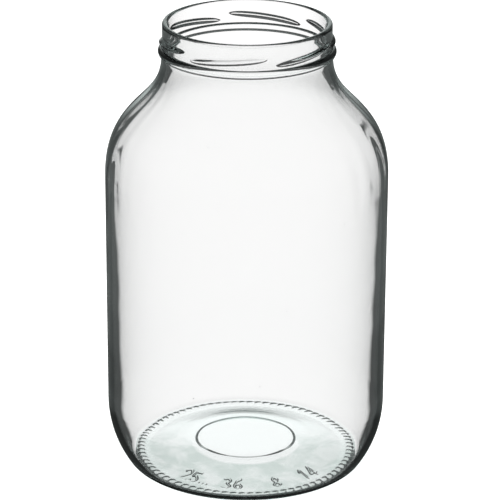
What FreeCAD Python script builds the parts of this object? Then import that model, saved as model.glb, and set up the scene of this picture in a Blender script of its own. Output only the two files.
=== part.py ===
import FreeCAD, Part
import math
import os
from FreeCAD import Vector

# Wide-mouth twist-off jar, empty and open, blown in one piece of clear glass.
# Millimetres.  +Z is up the axis, Z = 0 is the bearing ring that it stands on.

# Overall
height = 262.4
body_radius = 80.3

# Finish: rounded lip, six lugs, and the bead that the mould carries it by
rim_radius = 47.5
rim_wall = 3.2
lug_count = 6
lug_span = 54.0               # degrees of the rim that one lug covers
lug_first = -13.65            # degrees from the front to the middle of the first lug
lug_rise = 3.8                # how far a lug climbs from its low end to its high end
lug_proud = 1.95
lug_section = 1.8             # radius of the rounded lug's section
lug_root = 5.0                # degrees of the lug's ring sunk in the rim beyond each end
lug_depth = 10.25             # lip crest down to the middle of a lug
bead_depth = 16.65            # lip crest down to the middle of the bead
bead_section = 2.33           # radius of the bead's section
bead_proud = 2.4              # beyond the rim

# Neck and shoulder, one sweep from the neck out to the body
neck_flare = 0.45             # the neck below the bead is this much wider than the rim
neck_wall = 3.5
shoulder_height = 70.5
neck_sweep = 30.8             # how long the sweep follows the neck
shoulder_sweep = 44.2         # how long it follows the body
slope_wall_gain = 1.5         # the inside sweep starts lower, which keeps the slope as thick as the body

# Body and heel, whose wall thickens downwards
body_wall = 2.6               # at the top of the body
heel_wall = 3.3
heel_radius = 61.4
heel_turn = 34.2              # degrees that the heel leans in before its corner
corner_radius = 5.0
inner_corner = 4.0            # radius between the heel's inside and the floor

# Base
bearing_width = 7.9
base_thickness = 4.0          # over the bearing ring
push_up = 3.5                 # hollow under the base
push_up_ease = 0.4            # how softly the hollow starts and ends, as a share of its slope's width
recess_radius = 30.5          # round plate in the middle of the underside
recess_depth = 1.0
recess_slope = 2.3
plate_thickness = 4.4         # over the round plate
floor_flat = 20.0             # radius of the floor's level middle


def at(r, z):
    return Vector(r, 0, z)


def polar(centre, radius, degrees):
    a = math.radians(degrees)
    return centre + Vector(radius * math.cos(a), 0, radius * math.sin(a))


def line(p, q):
    return Part.LineSegment(p, q).toShape()


def arc(centre, radius, start, end):
    middle = polar(centre, radius, (start + end) / 2)
    return Part.Arc(polar(centre, radius, start), middle, polar(centre, radius, end)).toShape()


def curve(*poles):
    bezier = Part.BezierCurve()
    bezier.setPoles(list(poles))
    return bezier.toShape()


def finish_and_shoulder():
    """Lip, rim, bead and shoulder, from the inside of the lip down to the top of the body."""
    lip = rim_wall / 2
    crest = at(rim_radius - lip, height - lip)
    bead = at(rim_radius + bead_proud - bead_section, height - bead_depth)
    above = math.degrees(math.acos((rim_radius - bead.x) / bead_section))
    below = math.degrees(math.acos((rim_radius + neck_flare - bead.x) / bead_section))
    bead_top = polar(bead, bead_section, above)
    neck = polar(bead, bead_section, -below)
    body = at(body_radius, neck.z - shoulder_height)
    return [
        arc(crest, lip, 180, 0),
        line(at(rim_radius, crest.z), bead_top),
        arc(bead, bead_section, above, -below),
        curve(neck, neck - at(0, neck_sweep), body + at(0, shoulder_sweep), body),
    ], neck, body


def heel_centres():
    """Centres of the heel's two arcs: a wide one that leans in, and the corner down to Z = 0."""
    lean = math.radians(heel_turn)
    corner_height = corner_radius * (1 - math.sin(lean))
    heel_top = corner_height + heel_radius * math.sin(lean)
    heel_centre = at(body_radius - heel_radius, heel_top)
    corner_start = polar(heel_centre, heel_radius, -heel_turn)
    corner_centre = polar(corner_start, corner_radius, 180 - heel_turn)
    return heel_centre, corner_centre


def inside(neck, body, heel_centre, bearing_inner):
    """The cavity's wall, from the lip down the bore, shoulder and body to the middle of the floor."""
    bore = at(rim_radius - rim_wall, height - rim_wall / 2)
    throat = at(neck.x - neck_wall, neck.z)
    top = at(body_radius - body_wall, body.z)
    hollow = heel_radius - heel_wall
    reach = hollow - inner_corner
    turn = math.degrees(math.asin((heel_centre.z - base_thickness - inner_corner) / reach))
    corner = polar(heel_centre, reach, -turn)
    floor = at(corner.x, base_thickness)
    rise = at(bearing_inner.x, base_thickness)
    middle = at(floor_flat, push_up + recess_depth + plate_thickness)
    ease = at((rise.x - middle.x) * push_up_ease, 0)
    return [
        line(bore, throat),
        curve(throat, throat - at(0, neck_sweep + slope_wall_gain),
              top + at(0, shoulder_sweep - slope_wall_gain), top),
        line(top, polar(heel_centre, hollow, 0)),
        arc(heel_centre, hollow, 0, -turn),
        arc(corner, inner_corner, -turn, -90),
        line(floor, rise),
        curve(rise, rise - ease, middle + ease, middle),
        line(middle, at(0, middle.z)),
    ]


def underside(bearing_outer, bearing_inner):
    """Bearing ring, the hollow inside it and the round recess, in to the axis."""
    step = at(recess_radius + recess_slope, push_up)
    plate = at(recess_radius, push_up + recess_depth)
    ease = at((bearing_inner.x - step.x) * push_up_ease, 0)
    return [
        line(bearing_outer, bearing_inner),
        curve(bearing_inner, bearing_inner - ease, step + ease, step),
        line(step, plate),
        line(plate, at(0, plate.z)),
    ]


def turned_jar():
    finish, neck, body = finish_and_shoulder()
    heel_centre, corner_centre = heel_centres()
    bearing_outer = at(corner_centre.x, 0)
    bearing_inner = at(bearing_outer.x - bearing_width, 0)
    plate_top = push_up + recess_depth
    edges = finish
    edges += [line(body, at(body_radius, heel_centre.z))]
    edges += [arc(heel_centre, heel_radius, 0, -heel_turn)]
    edges += [arc(corner_centre, corner_radius, -heel_turn, -90)]
    edges += underside(bearing_outer, bearing_inner)
    edges += inside(neck, body, heel_centre, bearing_inner)
    edges += [line(at(0, plate_top), at(0, plate_top + plate_thickness))]
    profile = Part.Wire(Part.__sortEdges__(edges))
    return Part.Face(profile).revolve(Vector(0, 0, 0), Vector(0, 0, 1), 360)


def lugs():
    """Ledges that a lid's claws run under, each an arc of a smaller ring, so that its ends run out."""
    half = math.radians(lug_span / 2)
    outer = rim_radius + lug_proud
    offset = (outer ** 2 - rim_radius ** 2) / (2 * (outer - rim_radius * math.cos(half)))
    ring = outer - lug_section - offset
    run_out = math.degrees(math.asin(rim_radius * math.sin(half) / (outer - offset))) + lug_root
    tilt = math.degrees(math.atan2(lug_rise, 2 * half * rim_radius))
    core = Part.makeCylinder(rim_radius - rim_wall / 2, height)
    made = []
    for i in range(lug_count):
        lug = Part.makeTorus(ring, lug_section, Vector(), Vector(0, 0, 1), 0, 360, 2 * run_out)
        lug.rotate(Vector(), Vector(0, 0, 1), -run_out)
        lug.translate(Vector(offset, 0, 0))
        lug.rotate(Vector(), Vector(1, 0, 0), tilt)
        lug.rotate(Vector(), Vector(0, 0, 1), lug_first + 360 * i / lug_count - 90)
        lug.translate(Vector(0, 0, height - lug_depth))
        made.append(lug.cut(core))
    return made


jar = turned_jar().fuse(lugs())
if len(jar.Solids) != 1 or not jar.isValid():
    raise ValueError("the jar is one sound solid")
jar = jar.Solids[0]

os.makedirs("parts", exist_ok=True)
jar.exportStep("parts/jar.step")
box = jar.BoundBox
print("jar %.1f x %.1f x %.1f mm, %.1f ml of glass" % (box.XLength, box.YLength, box.ZLength, jar.Volume / 1000))
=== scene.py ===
import math
import random

import bpy
from mathutils import Matrix, Vector


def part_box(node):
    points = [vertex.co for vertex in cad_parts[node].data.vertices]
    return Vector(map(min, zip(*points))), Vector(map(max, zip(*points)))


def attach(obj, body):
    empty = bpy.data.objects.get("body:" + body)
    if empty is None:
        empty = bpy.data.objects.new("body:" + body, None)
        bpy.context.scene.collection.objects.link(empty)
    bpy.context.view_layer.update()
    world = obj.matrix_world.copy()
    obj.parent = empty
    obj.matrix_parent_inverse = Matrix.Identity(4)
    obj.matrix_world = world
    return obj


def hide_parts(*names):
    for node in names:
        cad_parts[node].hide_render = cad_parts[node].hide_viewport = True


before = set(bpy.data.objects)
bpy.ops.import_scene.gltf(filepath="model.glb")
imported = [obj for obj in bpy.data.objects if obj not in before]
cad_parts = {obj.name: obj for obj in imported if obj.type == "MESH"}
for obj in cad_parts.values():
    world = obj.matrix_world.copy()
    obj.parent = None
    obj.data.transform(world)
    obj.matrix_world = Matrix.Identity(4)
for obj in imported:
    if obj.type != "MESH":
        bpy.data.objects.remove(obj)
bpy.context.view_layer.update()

# the jar is worked out in mm, and only its finished points are turned into metres
mm = 0.001
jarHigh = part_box("jar")[1]
jarHeight = jarHigh.z / mm
jarRadius = jarHigh.x / mm
print("frame loaded: jar", round(jarHeight, 1), "mm high,", round(2 * jarRadius, 1), "mm across")


def clamp(value):
    return max(0.0, min(1.0, value))


def linePoints(p, q, steps):
    return [(p[0] + (q[0] - p[0]) * i / steps, p[1] + (q[1] - p[1]) * i / steps) for i in range(steps + 1)]


def arcPoints(x, z, radius, start, end, steps):
    angles = [math.radians(start + (end - start) * i / steps) for i in range(steps + 1)]
    return [(x + radius * math.cos(a), z + radius * math.sin(a)) for a in angles]


def bezierPoints(p, q, r, s, steps):
    points = []
    for i in range(steps + 1):
        t = i / steps
        u = 1 - t
        w = (u * u * u, 3 * u * u * t, 3 * u * t * t, t * t * t)
        points.append(tuple(w[0] * p[k] + w[1] * q[k] + w[2] * r[k] + w[3] * s[k] for k in (0, 1)))
    return points


# an outline as rings round the axis: radius, height, and the zone that says what is worked into it
class Profile:
    def __init__(self):
        self.rings = []

    # every stretch starts where the last one ended, so only the very first keeps its first point
    def add(self, points, zone):
        for p in points[1 if self.rings else 0:]:
            self.rings.append((p[0], p[1], zone))


mouth = {
    "rim": 47.5,            # outside
    "lipWall": 3.2,
    "neckFlare": 0.45,      # the neck is this much wider than the rim
    "neckWall": 3.5,
    "beadDown": 16.65,      # lip to middle of the bead
    "beadRound": 2.33,
    "beadOut": 2.4,
    "beadFillet": 0.7,
}
body = {
    "shoulder": 70.5,       # from the neck down to the full width
    "neckSweep": 30.8,      # how long the shoulder's curve follows the neck
    "bodySweep": 44.2,      # and how long it follows the body
    "sweepGain": 1.5,       # the inside turns out this much lower
    "wallTop": 2.6,         # blown walls are thinner up at the shoulder
    "wallLow": 3.3,
    "heel": 61.4,
    "heelTurn": 34.2,       # degrees that the heel leans in before its corner
    "corner": 5.0,
}
base = {
    "ring": 7.9,            # how wide the ring is that it stands on
    "thick": 4.0,           # over the ring
    "innerCorner": 4.0,
    "pushUp": 5.1,
    "ease": 0.15,           # how softly the hollow starts and ends, as a share of its width
    "plate": 28.4,
    "plateUp": 1.0,
    "plateSlope": 1.2,
    "plateRound": 0.5,      # the slope's rounding goes on this far over the plate
    "plateEase": 0.9,       # how softly the slope bends at both its ends
    "plateThick": 3.4,
    "plateBack": 1.5,       # the plate is this much behind the axis
    "backFrom": 46.0,       # that shift grows from this radius inwards
    "backOver": 12.0,       # over this much
    "uneven": 0.7,          # the floor is this much too high at the front and too low at the back
    "unevenFull": 30.0,     # in full at this radius, and less towards the axis
    "unevenFade": 15.0,     # and less from this near the ring
    "hub": 1.2,             # the last ring round the axis
}

# places where the stretches of the outline meet
neck = mouth["rim"] + mouth["neckFlare"]
lipRound = mouth["lipWall"] / 2
lipZ = jarHeight - lipRound
beadX = mouth["rim"] + mouth["beadOut"] - mouth["beadRound"]
beadZ = jarHeight - mouth["beadDown"]
neckTop = beadZ - math.sqrt(mouth["beadRound"] ** 2 - (neck - beadX) ** 2)
bodyTop = neckTop - body["shoulder"]
heelLean = math.radians(body["heelTurn"])
heelX = jarRadius - body["heel"]
heelZ = body["corner"] * (1 - math.sin(heelLean)) + body["heel"] * math.sin(heelLean)
cornerX = heelX + (body["heel"] - body["corner"]) * math.cos(heelLean)
ringInner = cornerX - base["ring"]
step = base["plate"] + base["plateSlope"]
plateZ = base["pushUp"] + base["plateUp"]
floorZ = plateZ + base["plateThick"]


def mouthOutside(prof):
    rim, r, f = mouth["rim"], mouth["beadRound"], mouth["beadFillet"]
    # fillets above and below the bead touch both the bead and the wall
    upZ = beadZ + math.sqrt((r + f) ** 2 - (rim + f - beadX) ** 2)
    downZ = beadZ - math.sqrt((r + f) ** 2 - (neck + f - beadX) ** 2)
    upTurn = math.degrees(math.atan2(upZ - beadZ, rim + f - beadX))
    downTurn = math.degrees(math.atan2(downZ - beadZ, neck + f - beadX))
    lugTop = jarHeight - lugs["down"] + lugs["rise"] / 2 + lugs["tall"] + lugs["clear"]
    prof.add(arcPoints(rim - lipRound, lipZ, lipRound, 90, 0, steps=8), "lip")
    prof.add(linePoints((rim, lipZ), (rim, lugTop), steps=3), "rim")
    prof.add(linePoints((rim, lugTop), (rim, upZ), steps=27), "lug")
    prof.add(arcPoints(rim + f, upZ, f, 180, 180 + upTurn, steps=3), "bead")
    prof.add(arcPoints(beadX, beadZ, r, upTurn, downTurn, steps=13), "bead")
    prof.add(arcPoints(neck + f, downZ, f, 180 + downTurn, 180, steps=3), "bead")
    return downZ


def bodyOutside(prof, filletZ):
    clear = 0.6             # keeps the shoulder's first ring off the bead's fillet
    sweep = bezierPoints((neck, neckTop), (neck, neckTop - body["neckSweep"]),
                         (jarRadius, bodyTop + body["bodySweep"]), (jarRadius, bodyTop), steps=34)
    prof.add([(neck, filletZ)] + [p for p in sweep if p[1] < filletZ - clear], "shoulder")
    prof.add(linePoints((jarRadius, bodyTop), (jarRadius, heelZ), steps=10), "body")
    prof.add(arcPoints(heelX, heelZ, body["heel"], 0, -body["heelTurn"], steps=12), "heel")
    prof.add(arcPoints(cornerX, body["corner"], body["corner"], -body["heelTurn"], -90, steps=8), "heel")


# the hollow and the floor over it follow one curve, from the ring in to the plate
def pushUpPoints(low, high, steps):
    reach = (ringInner - step) * base["ease"]
    return bezierPoints((ringInner, low), (ringInner - reach, low), (step + reach, high), (step, high), steps)


def underside(prof):
    inner = ringInner + knurls["inner"]
    outer = inner + knurls["wide"]
    prof.add(linePoints((cornerX, 0), (outer, 0), steps=1), "ring")
    prof.add(linePoints((outer, 0), (inner, 0), steps=11), "knurl")
    prof.add(linePoints((inner, 0), (ringInner, 0), steps=2), "knurl")
    # close rings where the numbers are, and every fourth one from there in
    slope = pushUpPoints(0, base["pushUp"], steps=48)
    numbered = [p for p in slope if p[0] > numbers["top"] - 1]
    plain = slope[len(numbered):]
    prof.add(numbered, "marks")
    prof.add([numbered[-1], plain[0]], "thinning")
    prof.add(plain[:-1:4] + plain[-1:], "under")
    edge, ease = base["plate"] - base["plateRound"], base["plateEase"]
    prof.add(bezierPoints((step, base["pushUp"]), (step - ease, base["pushUp"]), (edge + ease, plateZ),
                          (edge, plateZ), steps=6), "under")
    prof.add(linePoints((edge, plateZ), (base["hub"], plateZ), steps=4), "under")


def inside(prof):
    bore = mouth["rim"] - mouth["lipWall"]
    throat = neck - mouth["neckWall"]
    top, low = jarRadius - body["wallTop"], jarRadius - body["wallLow"]
    hollow, corner = body["heel"] - body["wallLow"], base["innerCorner"]
    lean = math.asin((heelZ - base["thick"] - corner) / (hollow - corner))
    turn = math.degrees(lean)
    floorX = heelX + (hollow - corner) * math.cos(lean)
    prof.add(arcPoints(bore + lipRound, lipZ, lipRound, 90, 180, steps=6), "lip")
    prof.add(linePoints((bore, lipZ), (throat, neckTop), steps=6), "bore")
    prof.add(bezierPoints((throat, neckTop), (throat, neckTop - body["neckSweep"] - body["sweepGain"]),
                          (top, bodyTop + body["bodySweep"] - body["sweepGain"]), (top, bodyTop), steps=28),
             "inner")
    prof.add(linePoints((top, bodyTop), (low, heelZ), steps=26), "inner")
    prof.add(arcPoints(heelX, heelZ, hollow, 0, -turn, steps=12), "inner")
    prof.add(arcPoints(floorX, base["thick"] + corner, corner, -turn, -90, steps=10), "inner")
    prof.add(linePoints((floorX, base["thick"]), (ringInner, base["thick"]), steps=4), "inner")
    prof.add(pushUpPoints(base["thick"], floorZ, steps=18), "inner")
    prof.add(linePoints((step, floorZ), (base["hub"], floorZ), steps=5), "inner")


lugs = {
    "count": 6,
    "span": 54.0,           # degrees each
    "first": -13.65,        # degrees round from the front
    "rise": 3.8,            # from its low end to its high end
    "out": 1.95,
    "tall": 1.8,            # half a lug's height
    "down": 10.25,          # lip to middle
    "clear": 0.5,           # plain rim between the lugs' zone and their highest point
    "blunt": 4,             # higher keeps a lug full for longer before its ends
    "taper": 0.6,           # how its reach falls off with its height at the ends
    "ridge": 1.35,          # 1 is a sharp ridge along its middle, 2 a round one
    "flank": 0.9,
    "foot": 2.5,            # how fast the blend dies out on the rim
    "soft": 0.12,           # how soft the corner is where a lug meets the rim
}


# radius of the rim at this angle and height, with the lugs blended on
def lugOut(phi, z):
    rim, soft = mouth["rim"], lugs["soft"]
    pitch = 360 / lugs["count"]
    turn = (phi - lugs["first"] + pitch / 2) % pitch - pitch / 2
    along = abs(turn) / (lugs["span"] / 2)
    if along >= 1:
        return rim
    swell = 1 - along ** lugs["blunt"]
    tall = lugs["tall"] * math.sqrt(swell)
    off = abs(z - (jarHeight - lugs["down"] + lugs["rise"] * turn / lugs["span"])) / tall
    if off < 1:
        out = lugs["out"] * swell ** lugs["taper"] * (1 - off ** lugs["ridge"]) ** lugs["flank"]
    else:
        out = -lugs["foot"] * (off - 1)
    return min(rim + soft * math.log1p(math.exp(out / soft)), rim + lugs["out"])


knurls = {
    "count": 80,
    "inner": 2.3,           # from the ring's inner edge, outwards
    "wide": 4.3,
    "deep": 0.4,
    "lean": 0.55,           # how far each crescent leans over, as a share of the pitch
    "sharp": 0.7,           # below 1 leaves narrow ridges between wide hollows
    "ends": 0.5,
}


# how far the bearing ring is cut away between the crescents that the jar stands on
def knurlUp(phi, r):
    across = (r - ringInner - knurls["inner"]) / knurls["wide"]
    if across <= 0 or across >= 1:
        return 0.0
    wave = math.cos(math.radians(phi * knurls["count"]) + knurls["lean"] * math.pi * (across - 0.5))
    hollow = (0.5 - 0.5 * wave) ** knurls["sharp"]
    return knurls["deep"] * hollow * math.sin(math.pi * across) ** knurls["ends"]


numbers = {
    "marks": (("25", -37), ("36", -8), ("8", 20), ("14", 44)),     # with degrees round from the front
    "dots": (-29, -26.5, -24),
    "dotFrom": 0.4,         # a dot's ends above the figures' foot
    "dotTo": 0.9,
    "dotLean": 0.01,
    "foot": 55.5,           # radius that the figures stand on, with their tops towards the middle
    "top": 46.5,
    "wide": 4.4,            # one figure
    "next": 6.2,            # from one figure to the next
    "stroke": 0.45,         # half its width
    "soft": 0.22,
    "proud": 0.5,
    "clear": 0.02,          # no figure comes nearer to the table than this
}
# each figure is one bent stroke: points across and up, as shares of its width and height
figures = {
    "1": ((0.2, 0.8), (0.55, 1.0), (0.55, 0.0)),
    "2": ((0.0, 0.75), (0.1, 0.93), (0.5, 1.0), (0.88, 0.9), (0.93, 0.68), (0.0, 0.0), (1.0, 0.0)),
    "3": ((0.0, 0.9), (0.5, 1.0), (0.9, 0.8), (0.45, 0.53), (0.95, 0.28), (0.55, 0.0), (0.0, 0.1)),
    "4": ((0.7, 0.0), (0.7, 1.0), (0.0, 0.3), (1.0, 0.3)),
    "5": ((0.9, 1.0), (0.12, 1.0), (0.06, 0.56), (0.5, 0.62), (0.95, 0.36), (0.7, 0.03), (0.3, 0.0),
          (0.0, 0.14)),
    "6": ((0.85, 0.96), (0.3, 0.78), (0.05, 0.35), (0.3, 0.02), (0.75, 0.04), (0.95, 0.3), (0.6, 0.54),
          (0.1, 0.4)),
    "8": ((0.5, 0.53), (0.12, 0.76), (0.5, 1.0), (0.88, 0.76), (0.5, 0.53), (0.05, 0.25), (0.5, 0.0),
          (0.95, 0.25), (0.5, 0.53)),
}
numbersRadius = (numbers["foot"] + numbers["top"]) / 2


# both ends of every stroke: mm round the jar from the front, and mm up from the figures' foot
def numberStrokes():
    made = []
    tall = numbers["foot"] - numbers["top"]
    for text, phi in numbers["marks"]:
        middle = numbersRadius * math.radians(phi)
        start = middle - (len(text) - 1) * numbers["next"] / 2 - numbers["wide"] / 2
        for i, figure in enumerate(text):
            left = start + i * numbers["next"]
            ends = [(left + x * numbers["wide"], y * tall) for x, y in figures[figure]]
            made += list(zip(ends, ends[1:]))
    for phi in numbers["dots"]:
        x = numbersRadius * math.radians(phi)
        made.append(((x, numbers["dotFrom"]), (x + numbers["dotLean"], numbers["dotTo"])))
    return made


strokes = numberStrokes()


# how far the figures stand down from the hollow at this point
def strokeDown(phi, r):
    x = numbersRadius * math.radians((phi + 180) % 360 - 180)
    y = numbers["foot"] - r
    edge = numbers["stroke"] + numbers["soft"]
    near = edge
    for (ax, ay), (bx, by) in strokes:
        if min(ax, bx) - edge < x < max(ax, bx) + edge:
            dx, dy = bx - ax, by - ay
            t = clamp(((x - ax) * dx + (y - ay) * dy) / (dx * dx + dy * dy))
            near = min(near, math.hypot(x - ax - t * dx, y - ay - t * dy))
    side = clamp((edge - near) / (2 * numbers["soft"]))
    return numbers["proud"] * side * side * (3 - 2 * side)


# waves on the blown inside: how tall each is in mm and how many go round the jar, both picked from a range
ripples = {
    "slow": {"seed": 4, "count": 9, "tall": (60, 160), "turns": (1, 5), "size": 0.012},
    "quick": {"seed": 11, "count": 16, "tall": (10, 36), "turns": (1, 16), "size": 0.004},
    "streaks": {"seed": 7, "count": 14, "tall": (70, 200), "turns": (10, 46), "size": 0.03},
    "streaksFrom": 40.0,    # the streaks start this far under the shoulder
    "streaksGrow": 50.0,
    "streaksFade": 45.0,    # and die out over this much under the neck
    "wallFrom": 60.0,       # outside this radius the waves push sideways, inside it they lift the floor
    "calm": 20.0,           # radius of the floor's calm middle
}


class Waves:
    def __init__(self, seed, count, tall, turns, size):
        rnd = random.Random(seed)
        self.terms = []
        for i in range(count):
            self.terms.append((rnd.randint(*turns), rnd.uniform(0, 2 * math.pi), rnd.uniform(*tall),
                               rnd.uniform(0, 2 * math.pi), size * rnd.uniform(0.5, 1.0)))

    def at(self, phi, z):
        a = math.radians(phi)
        total = 0.0
        for turns, start, tall, rise, size in self.terms:
            total += size * math.sin(turns * a + start) * math.sin(2 * math.pi * z / tall + rise)
        return total


slow, quick, streaks = [Waves(**ripples[kind]) for kind in ("slow", "quick", "streaks")]


def blownInside(phi, r, z):
    high = clamp(min((z - bodyTop + ripples["streaksFrom"]) / ripples["streaksGrow"],
                     (neckTop - z) / ripples["streaksFade"]))
    wave = slow.at(phi, z) + quick.at(phi, z) + high * streaks.at(phi, z)
    if r > ripples["wallFrom"] or z > bodyTop:
        return r + wave, z
    tilt = base["uneven"] * min(r, base["unevenFull"]) / base["unevenFull"] * math.cos(math.radians(phi))
    tilt *= clamp((ringInner - r) / base["unevenFade"])
    return r, z + wave * min(1.0, r / ripples["calm"]) + tilt


# where a point of the outline ends up once its zone's work is done
def worked(phi, r, z, zone):
    if zone == "lug":
        return lugOut(phi, z), z
    if zone == "knurl":
        return r, z + knurlUp(phi, r)
    if zone == "marks":
        return r, max(min(z, numbers["clear"]), z - strokeDown(phi, r))
    if zone == "inner":
        return blownInside(phi, r, z)
    return r, z


detail = {
    "steps": 240,           # round the jar
    "finer": {"lug": 2, "knurl": 2, "thinning": 2, "marks": 4},
}


def makeRing(verts, ring):
    r, z, zone = ring
    n = detail["steps"] * detail["finer"].get(zone, 1)
    back = base["plateBack"] * clamp((base["backFrom"] - r) / base["backOver"]) if zone == "under" else 0
    start = len(verts)
    for i in range(n):
        phi = 360.0 * i / n
        a = math.radians(phi - 90)
        x, up = worked(phi, r, z, zone)
        verts.append((x * math.cos(a) * mm, (x * math.sin(a) + back) * mm, up * mm))
    return start, n


# four-sided faces between two rings, or three triangles a step where one ring is twice as fine as the other
def joinRings(faces, one, two, flip):
    (a, n), (b, m) = one, two
    for i in range(min(n, m)):
        j = (i + 1) % min(n, m)
        k = 2 * i
        if n == m:
            made = [(a + i, a + j, b + j, b + i)]
        elif m == 2 * n:
            made = [(a + i, b + k + 1, b + k), (a + i, a + j, b + k + 1), (a + j, b + (k + 2) % m, b + k + 1)]
        else:
            made = [(b + i, a + k, a + k + 1), (b + i, a + k + 1, b + j), (b + j, a + k + 1, a + (k + 2) % n)]
        faces.extend([tuple(reversed(f)) for f in made] if flip else made)


def closeRing(verts, faces, ring, middle, flip):
    start, n = ring
    verts.append(middle)
    for i in range(n):
        one, two = start + i, start + (i + 1) % n
        faces.append((two, one, len(verts) - 1) if flip else (one, two, len(verts) - 1))


bubbles = {
    "count": 22,
    "small": 0.12,          # radius
    "large": 0.3,
    "from": 40.0,           # above the table
    "below": 5.0,           # under the shoulder
    "rows": 5,
    "columns": 8,
    "seed": 5,
}


# tiny air bubbles in the middle of the wall, with their faces turned to the air inside
def addBubbles(verts, faces):
    rnd = random.Random(bubbles["seed"])
    rows, columns = bubbles["rows"], bubbles["columns"]
    for i in range(bubbles["count"]):
        z = rnd.uniform(bubbles["from"], bodyTop - bubbles["below"])
        size = rnd.uniform(bubbles["small"], bubbles["large"])
        a = math.radians(rnd.uniform(0, 360))
        wall = body["wallLow"] + (body["wallTop"] - body["wallLow"]) * z / bodyTop
        r = jarRadius - wall / 2
        middle = Vector((r * math.cos(a), r * math.sin(a), z))
        first = len(verts)
        verts.append(tuple((middle + Vector((0, 0, size))) * mm))
        for j in range(1, rows):
            down = math.pi * j / rows
            for k in range(columns):
                turn = 2 * math.pi * k / columns
                level = math.sin(down)
                out = Vector((level * math.cos(turn), level * math.sin(turn), math.cos(down)))
                verts.append(tuple((middle + size * out) * mm))
        verts.append(tuple((middle - Vector((0, 0, size))) * mm))
        last = len(verts) - 1
        for k in range(columns):
            n = (k + 1) % columns
            faces.append((first, first + 1 + n, first + 1 + k))
            for j in range(rows - 2):
                p = first + 1 + j * columns
                faces.append((p + k, p + n, p + columns + n, p + columns + k))
            p = first + 1 + (rows - 2) * columns
            faces.append((last, p + k, p + n))


def buildJar():
    outer, inner = Profile(), Profile()
    filletZ = mouthOutside(outer)
    bodyOutside(outer, filletZ)
    underside(outer)
    inside(inner)
    verts, faces = [], []
    outside = [makeRing(verts, ring) for ring in outer.rings]
    for one, two in zip(outside, outside[1:]):
        joinRings(faces, one, two, flip=True)
    closeRing(verts, faces, outside[-1], (0, base["plateBack"] * mm, plateZ * mm), flip=True)
    # the lip's crest is the first ring of both outlines
    bore = outside[:1] + [makeRing(verts, ring) for ring in inner.rings[1:]]
    for one, two in zip(bore, bore[1:]):
        joinRings(faces, one, two, flip=False)
    closeRing(verts, faces, bore[-1], (0, 0, floorZ * mm), flip=False)
    addBubbles(verts, faces)
    mesh = bpy.data.meshes.new("glassJar")
    mesh.from_pydata(verts, [], faces)
    mesh.polygons.foreach_set("use_smooth", [True] * len(mesh.polygons))
    mesh.update()
    obj = bpy.data.objects.new("glassJar", mesh)
    bpy.context.scene.collection.objects.link(obj)
    print("jar mesh:", len(verts), "points,", sum(len(f) - 2 for f in faces), "triangles")
    return obj


# a keyword is either a setting of the node or the name of one of its sockets
def addNode(tree, kind, **values):
    node = tree.nodes.new(kind)
    for name, value in values.items():
        if hasattr(node, name):
            setattr(node, name, value)
        else:
            node.inputs[name].default_value = value
    return node


def maths(tree, kind, *feeds):
    node = addNode(tree, "ShaderNodeMath", operation=kind)
    for socket, feed in zip(node.inputs, feeds):
        if isinstance(feed, (int, float)):
            socket.default_value = feed
        else:
            tree.links.new(feed, socket)
    return node.outputs[0]


def mixShaders(tree, factor, one, two):
    node = addNode(tree, "ShaderNodeMixShader")
    tree.links.new(factor, node.inputs[0])
    tree.links.new(one, node.inputs[1])
    tree.links.new(two, node.inputs[2])
    return node.outputs[0]


# 0 to 1 as the feed goes from one value to the other
def share(tree, feed, start, end, **values):
    node = addNode(tree, "ShaderNodeMapRange", **values)
    node.inputs["From Min"].default_value = start
    node.inputs["From Max"].default_value = end
    tree.links.new(feed, node.inputs["Value"])
    return node.outputs["Result"]


def newMaterial(name):
    mat = bpy.data.materials.new(name)
    mat.use_nodes = True
    mat.node_tree.nodes.clear()
    return mat, mat.node_tree, addNode(mat.node_tree, "ShaderNodeOutputMaterial")


glassLook = {
    "index": 1.52,
    "tint": (0.25, 0.72, 0.66),     # of the iron in it, deep down
    "depth": 7.0,
    "shadow": (0.90, 0.93, 0.92),   # what a shadow ray keeps at each surface
}


def clearGlass():
    mat, tree, out = newMaterial("clearGlass")
    glass = addNode(tree, "ShaderNodeBsdfPrincipled", Roughness=0.0, IOR=glassLook["index"])
    glass.inputs["Base Color"].default_value = (1, 1, 1, 1)
    glass.inputs["Transmission Weight"].default_value = 1.0
    clear = addNode(tree, "ShaderNodeBsdfTransparent", Color=(*glassLook["shadow"], 1))
    path = addNode(tree, "ShaderNodeLightPath")
    iron = addNode(tree, "ShaderNodeVolumeAbsorption", Color=(*glassLook["tint"], 1),
                   Density=glassLook["depth"])
    surface = mixShaders(tree, path.outputs["Is Shadow Ray"], glass.outputs[0], clear.outputs[0])
    tree.links.new(surface, out.inputs["Surface"])
    tree.links.new(iron.outputs[0], out.inputs["Volume"])
    return mat


# the camera stands in front of the jar, a little above it
camera = {
    "lens": 194.05,
    "sensor": 36,
    "back": 1.4425,
    "up": 0.6789,
    "down": 20.959,         # degrees
    "roll": 0.264,
    "shift": 0.0073,
}


def makeCamera():
    cam = bpy.data.cameras.new("camera")
    cam.lens = camera["lens"]
    cam.sensor_width = camera["sensor"]
    cam.shift_x = camera["shift"]
    obj = bpy.data.objects.new("camera", cam)
    bpy.context.scene.collection.objects.link(obj)
    tilt = Matrix.Rotation(math.radians(90 - camera["down"]), 4, "X")
    roll = Matrix.Rotation(math.radians(camera["roll"]), 4, "Z")
    obj.matrix_world = Matrix.Translation((0, -camera["back"], camera["up"])) @ tilt @ roll
    bpy.context.scene.camera = obj


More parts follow.
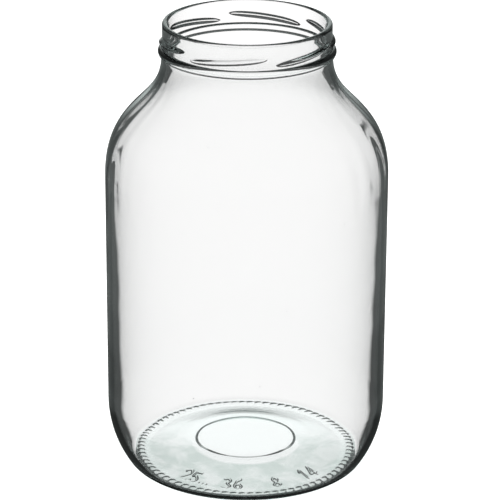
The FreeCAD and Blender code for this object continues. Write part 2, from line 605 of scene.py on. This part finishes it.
# the studio as the glass shows it, as stops of an angle in degrees and its grey: sides are right of straight
# behind the jar, heights are above level, and the grey of a direction is one times the other
surroundings = {
    "fill": 0.8,            # what lights matt things
    "through": {            # seen straight through the wall: one panel of 45 degrees, eight times round
        "glow": 2.3,
        "tint": (1.0, 0.98, 0.98),
        "panel": 22.5,
        "sides": [(-22.5, 0.04), (-12, 0.04), (-10, 0.5), (10, 0.5), (12, 0.04), (22.5, 0.04)],
        "heights": [(-90, 0.3), (-58, 0.15), (-45, 0.9), (-31, 1.0), (1.0, 1.0), (5.5, 0.08), (50, 0.06),
                    (60, 0.9), (90, 0.9)],
    },
    "shine": {              # mirrored in the glass, on it or inside its wall
        "glow": 9.0,
        "tint": (0.92, 1.0, 0.98),
        "sides": [(-180, 0.12), (-25, 0.12), (-8, 0.25), (8, 0.25), (25, 0.12), (180, 0.12)],
        "heights": [(-90, 0.12), (-60, 0.1), (-45, 0.02), (-26, 0.02), (-22, 0.09), (-17, 0.09), (-10, 0.06),
                    (0, 0.06), (7, 0.12), (90, 0.12)],
    },
    "card": {               # a white card behind, which only the floor of the jar mirrors
        "glow": 0.9,
        "sides": [(-180, 0), (-20, 0), (-10, 1), (10, 1), (20, 0), (180, 0)],
        "heights": [(-90, 0), (-8, 0), (-4, 1), (25, 1), (40, 0), (90, 0)],
    },
}


def setStops(node, stops):
    cells = node.color_ramp.elements
    while len(cells) > 1:
        cells.remove(cells[-1])
    for i, (place, grey) in enumerate(stops):
        stop = cells[0] if i == 0 else cells.new(place)
        stop.position = place
        stop.color = (grey, grey, grey, 1)


# the grey of an angle that is fed in as radians
def stopsGrey(tree, feed, stops, widest):
    node = addNode(tree, "ShaderNodeValToRGB")
    tree.links.new(share(tree, feed, math.radians(-widest), math.radians(widest)), node.inputs[0])
    setStops(node, [((angle + widest) / (2 * widest), grey) for angle, grey in stops])
    return node.outputs[0]


def lightFrom(tree, light, around, upward, widest=180):
    sides = stopsGrey(tree, around, light["sides"], widest)
    both = maths(tree, "MULTIPLY", sides, stopsGrey(tree, upward, light["heights"], 90))
    return maths(tree, "MULTIPLY", both, light["glow"])


def background(tree, strength, tint=(1, 1, 1)):
    node = addNode(tree, "ShaderNodeBackground", Color=(*tint, 1))
    if isinstance(strength, (int, float)):
        node.inputs["Strength"].default_value = strength
    else:
        tree.links.new(strength, node.inputs["Strength"])
    return node.outputs[0]


def makeWorld():
    world = bpy.data.worlds.new("studio")
    bpy.context.scene.world = world
    world.use_nodes = True
    tree = world.node_tree
    tree.nodes.clear()
    out = addNode(tree, "ShaderNodeOutputWorld")
    coord = addNode(tree, "ShaderNodeTexCoord")
    split = addNode(tree, "ShaderNodeSeparateXYZ")
    path = addNode(tree, "ShaderNodeLightPath")
    tree.links.new(coord.outputs["Generated"], split.inputs[0])
    around = maths(tree, "ARCTAN2", split.outputs["X"], split.outputs["Y"])
    upward = maths(tree, "ARCSINE", split.outputs["Z"])
    through, shine = surroundings["through"], surroundings["shine"]
    edge = math.radians(through["panel"])
    panel = maths(tree, "WRAP", around, edge, -edge)
    straight = lightFrom(tree, through, panel, upward, through["panel"])
    mirrored = maths(tree, "ADD", lightFrom(tree, shine, around, upward),
                     lightFrom(tree, surroundings["card"], around, upward))
    wasMirrored = maths(tree, "GREATER_THAN", path.outputs["Glossy Depth"], 0.5)
    light = mixShaders(tree, path.outputs["Is Transmission Ray"], background(tree, surroundings["fill"]),
                       background(tree, straight, through["tint"]))
    light = mixShaders(tree, wasMirrored, light, background(tree, mirrored, shine["tint"]))
    light = mixShaders(tree, path.outputs["Is Camera Ray"], light, background(tree, 1.0))
    tree.links.new(light, out.inputs["Surface"])


table = {
    "side": 4.0,            # half its length
    "drop": 0.0002,         # under the jar
    "grey": 0.85,
    "glow": 0.55,           # only the camera sees this, so the table is white and keeps the jar's shadow
}


def makeFloor():
    corners = [(x * table["side"], y * table["side"], 0) for x, y in ((-1, -1), (1, -1), (1, 1), (-1, 1))]
    mesh = bpy.data.meshes.new("floor")
    mesh.from_pydata(corners, [], [(0, 1, 2, 3)])
    floor = bpy.data.objects.new("floor", mesh)
    floor.location.z = -table["drop"]
    bpy.context.scene.collection.objects.link(floor)
    floor.visible_transmission = False
    floor.visible_glossy = False
    mat, tree, out = newMaterial("paleFloor")
    matt = addNode(tree, "ShaderNodeBsdfDiffuse", Color=(table["grey"], table["grey"], table["grey"], 1))
    glow = addNode(tree, "ShaderNodeEmission", Strength=table["glow"])
    both = addNode(tree, "ShaderNodeAddShader")
    path = addNode(tree, "ShaderNodeLightPath")
    tree.links.new(matt.outputs[0], both.inputs[0])
    tree.links.new(glow.outputs[0], both.inputs[1])
    surface = mixShaders(tree, path.outputs["Is Camera Ray"], matt.outputs[0], both.outputs[0])
    tree.links.new(surface, out.inputs["Surface"])
    mesh.materials.append(mat)


shadeSheet = {
    "radius": 0.0665,
    "corners": 96,
    "drop": 0.0001,
    "disc": 0.0285,         # disc under the plate that the painted shadow leaves pale
    "discEdge": 0.004,
    "discBack": 0.0075,
    "front": -0.01,         # the painted shadow's green fades out from here
    "back": 0.03,           # to here
    "scale": 60.0,          # of the blots of painted caustic light
    "causticFrom": 0.4,
    "causticTo": 0.62,
    "causticLift": 0.55,         # how pale a blot of painted caustic light makes the painted shade
    # painted shadow colour: the jar's shade on the table, green-grey through the glass
    "shadeGreen": (0.69, 0.765, 0.74),
    "pale": (0.98, 1.0, 1.0),
}


# a sheet under the jar, which only the glass sees, with painted shadow: the table's grey through the thick
# base, painted green-grey where the jar shades it
def makeShadeSheet():
    n = shadeSheet["corners"]
    turns = [2 * math.pi * i / n for i in range(n)]
    mesh = bpy.data.meshes.new("shadeSheet")
    mesh.from_pydata([(shadeSheet["radius"] * math.cos(a), shadeSheet["radius"] * math.sin(a), 0) for a in turns], [],
                     [tuple(range(n))])
    obj = bpy.data.objects.new("shadeSheet", mesh)
    obj.location.z = -shadeSheet["drop"]
    bpy.context.scene.collection.objects.link(obj)
    obj.visible_camera = False
    obj.visible_diffuse = False
    obj.visible_glossy = False
    obj.visible_shadow = False
    mat, tree, out = newMaterial("paintedShadeSheet")
    coord = addNode(tree, "ShaderNodeTexCoord")
    split = addNode(tree, "ShaderNodeSeparateXYZ")
    tree.links.new(coord.outputs["Object"], split.inputs[0])
    shift = addNode(tree, "ShaderNodeVectorMath", operation="SUBTRACT")
    shift.inputs[1].default_value = (0, shadeSheet["discBack"], 0)
    tree.links.new(coord.outputs["Object"], shift.inputs[0])
    far = addNode(tree, "ShaderNodeVectorMath", operation="LENGTH")
    tree.links.new(shift.outputs[0], far.inputs[0])
    causticBlots = addNode(tree, "ShaderNodeTexNoise", Scale=shadeSheet["scale"], Detail=3.0, Roughness=0.6,
                    Distortion=0.5)
    tree.links.new(coord.outputs["Object"], causticBlots.inputs["Vector"])
    # painted shade: green-grey at the front, pale towards the back and in the disc under the plate
    back = share(tree, split.outputs["Y"], shadeSheet["front"], shadeSheet["back"], interpolation_type="SMOOTHSTEP")
    disc = share(tree, far.outputs["Value"], shadeSheet["disc"] + shadeSheet["discEdge"], shadeSheet["disc"],
                 interpolation_type="SMOOTHSTEP")
    # painted caustic light: noise blots that make the painted shade paler in patches
    causticBlot = share(tree, causticBlots.outputs[0], shadeSheet["causticFrom"], shadeSheet["causticTo"])
    pale = maths(tree, "MULTIPLY_ADD", causticBlot, shadeSheet["causticLift"], maths(tree, "MAXIMUM", back, disc))
    tint = addNode(tree, "ShaderNodeValToRGB")
    tint.color_ramp.elements[0].color = (*shadeSheet["shadeGreen"], 1)
    tint.color_ramp.elements[1].color = (*shadeSheet["pale"], 1)
    tree.links.new(pale, tint.inputs[0])
    clear = addNode(tree, "ShaderNodeBsdfTransparent")
    tree.links.new(tint.outputs[0], clear.inputs["Color"])
    tree.links.new(clear.outputs[0], out.inputs["Surface"])
    mesh.materials.append(mat)


lamps = {
    "softboxLeft": {"place": (-1.1, -0.9, 1.0), "target": (0, 0, 0.13), "size": (0.5, 0.9), "power": 9},
    "softboxTop": {"place": (0.2, 0.1, 1.5), "target": (0, 0, 0.1), "size": (0.9, 0.9), "power": 12},
}


# the glass doesn't show the lamps, which light the table
def addLamp(name, place, target, size, power):
    light = bpy.data.lights.new(name, "AREA")
    light.shape = "RECTANGLE"
    light.size, light.size_y = size
    light.energy = power
    obj = bpy.data.objects.new(name, light)
    bpy.context.scene.collection.objects.link(obj)
    obj.visible_glossy = False
    obj.visible_transmission = False
    obj.location = place
    obj.rotation_mode = "QUATERNION"
    obj.rotation_quaternion = (Vector(target) - Vector(place)).to_track_quat("-Z", "Y")


bpy.context.scene.view_settings.view_transform = "Standard"
makeCamera()
makeWorld()
makeFloor()
makeShadeSheet()
for name, lamp in lamps.items():
    addLamp(name, **lamp)
print("studio ready")

jar = buildJar()
jar.data.materials.append(clearGlass())
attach(jar, "root")
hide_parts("jar")
print("jar glazed and placed")
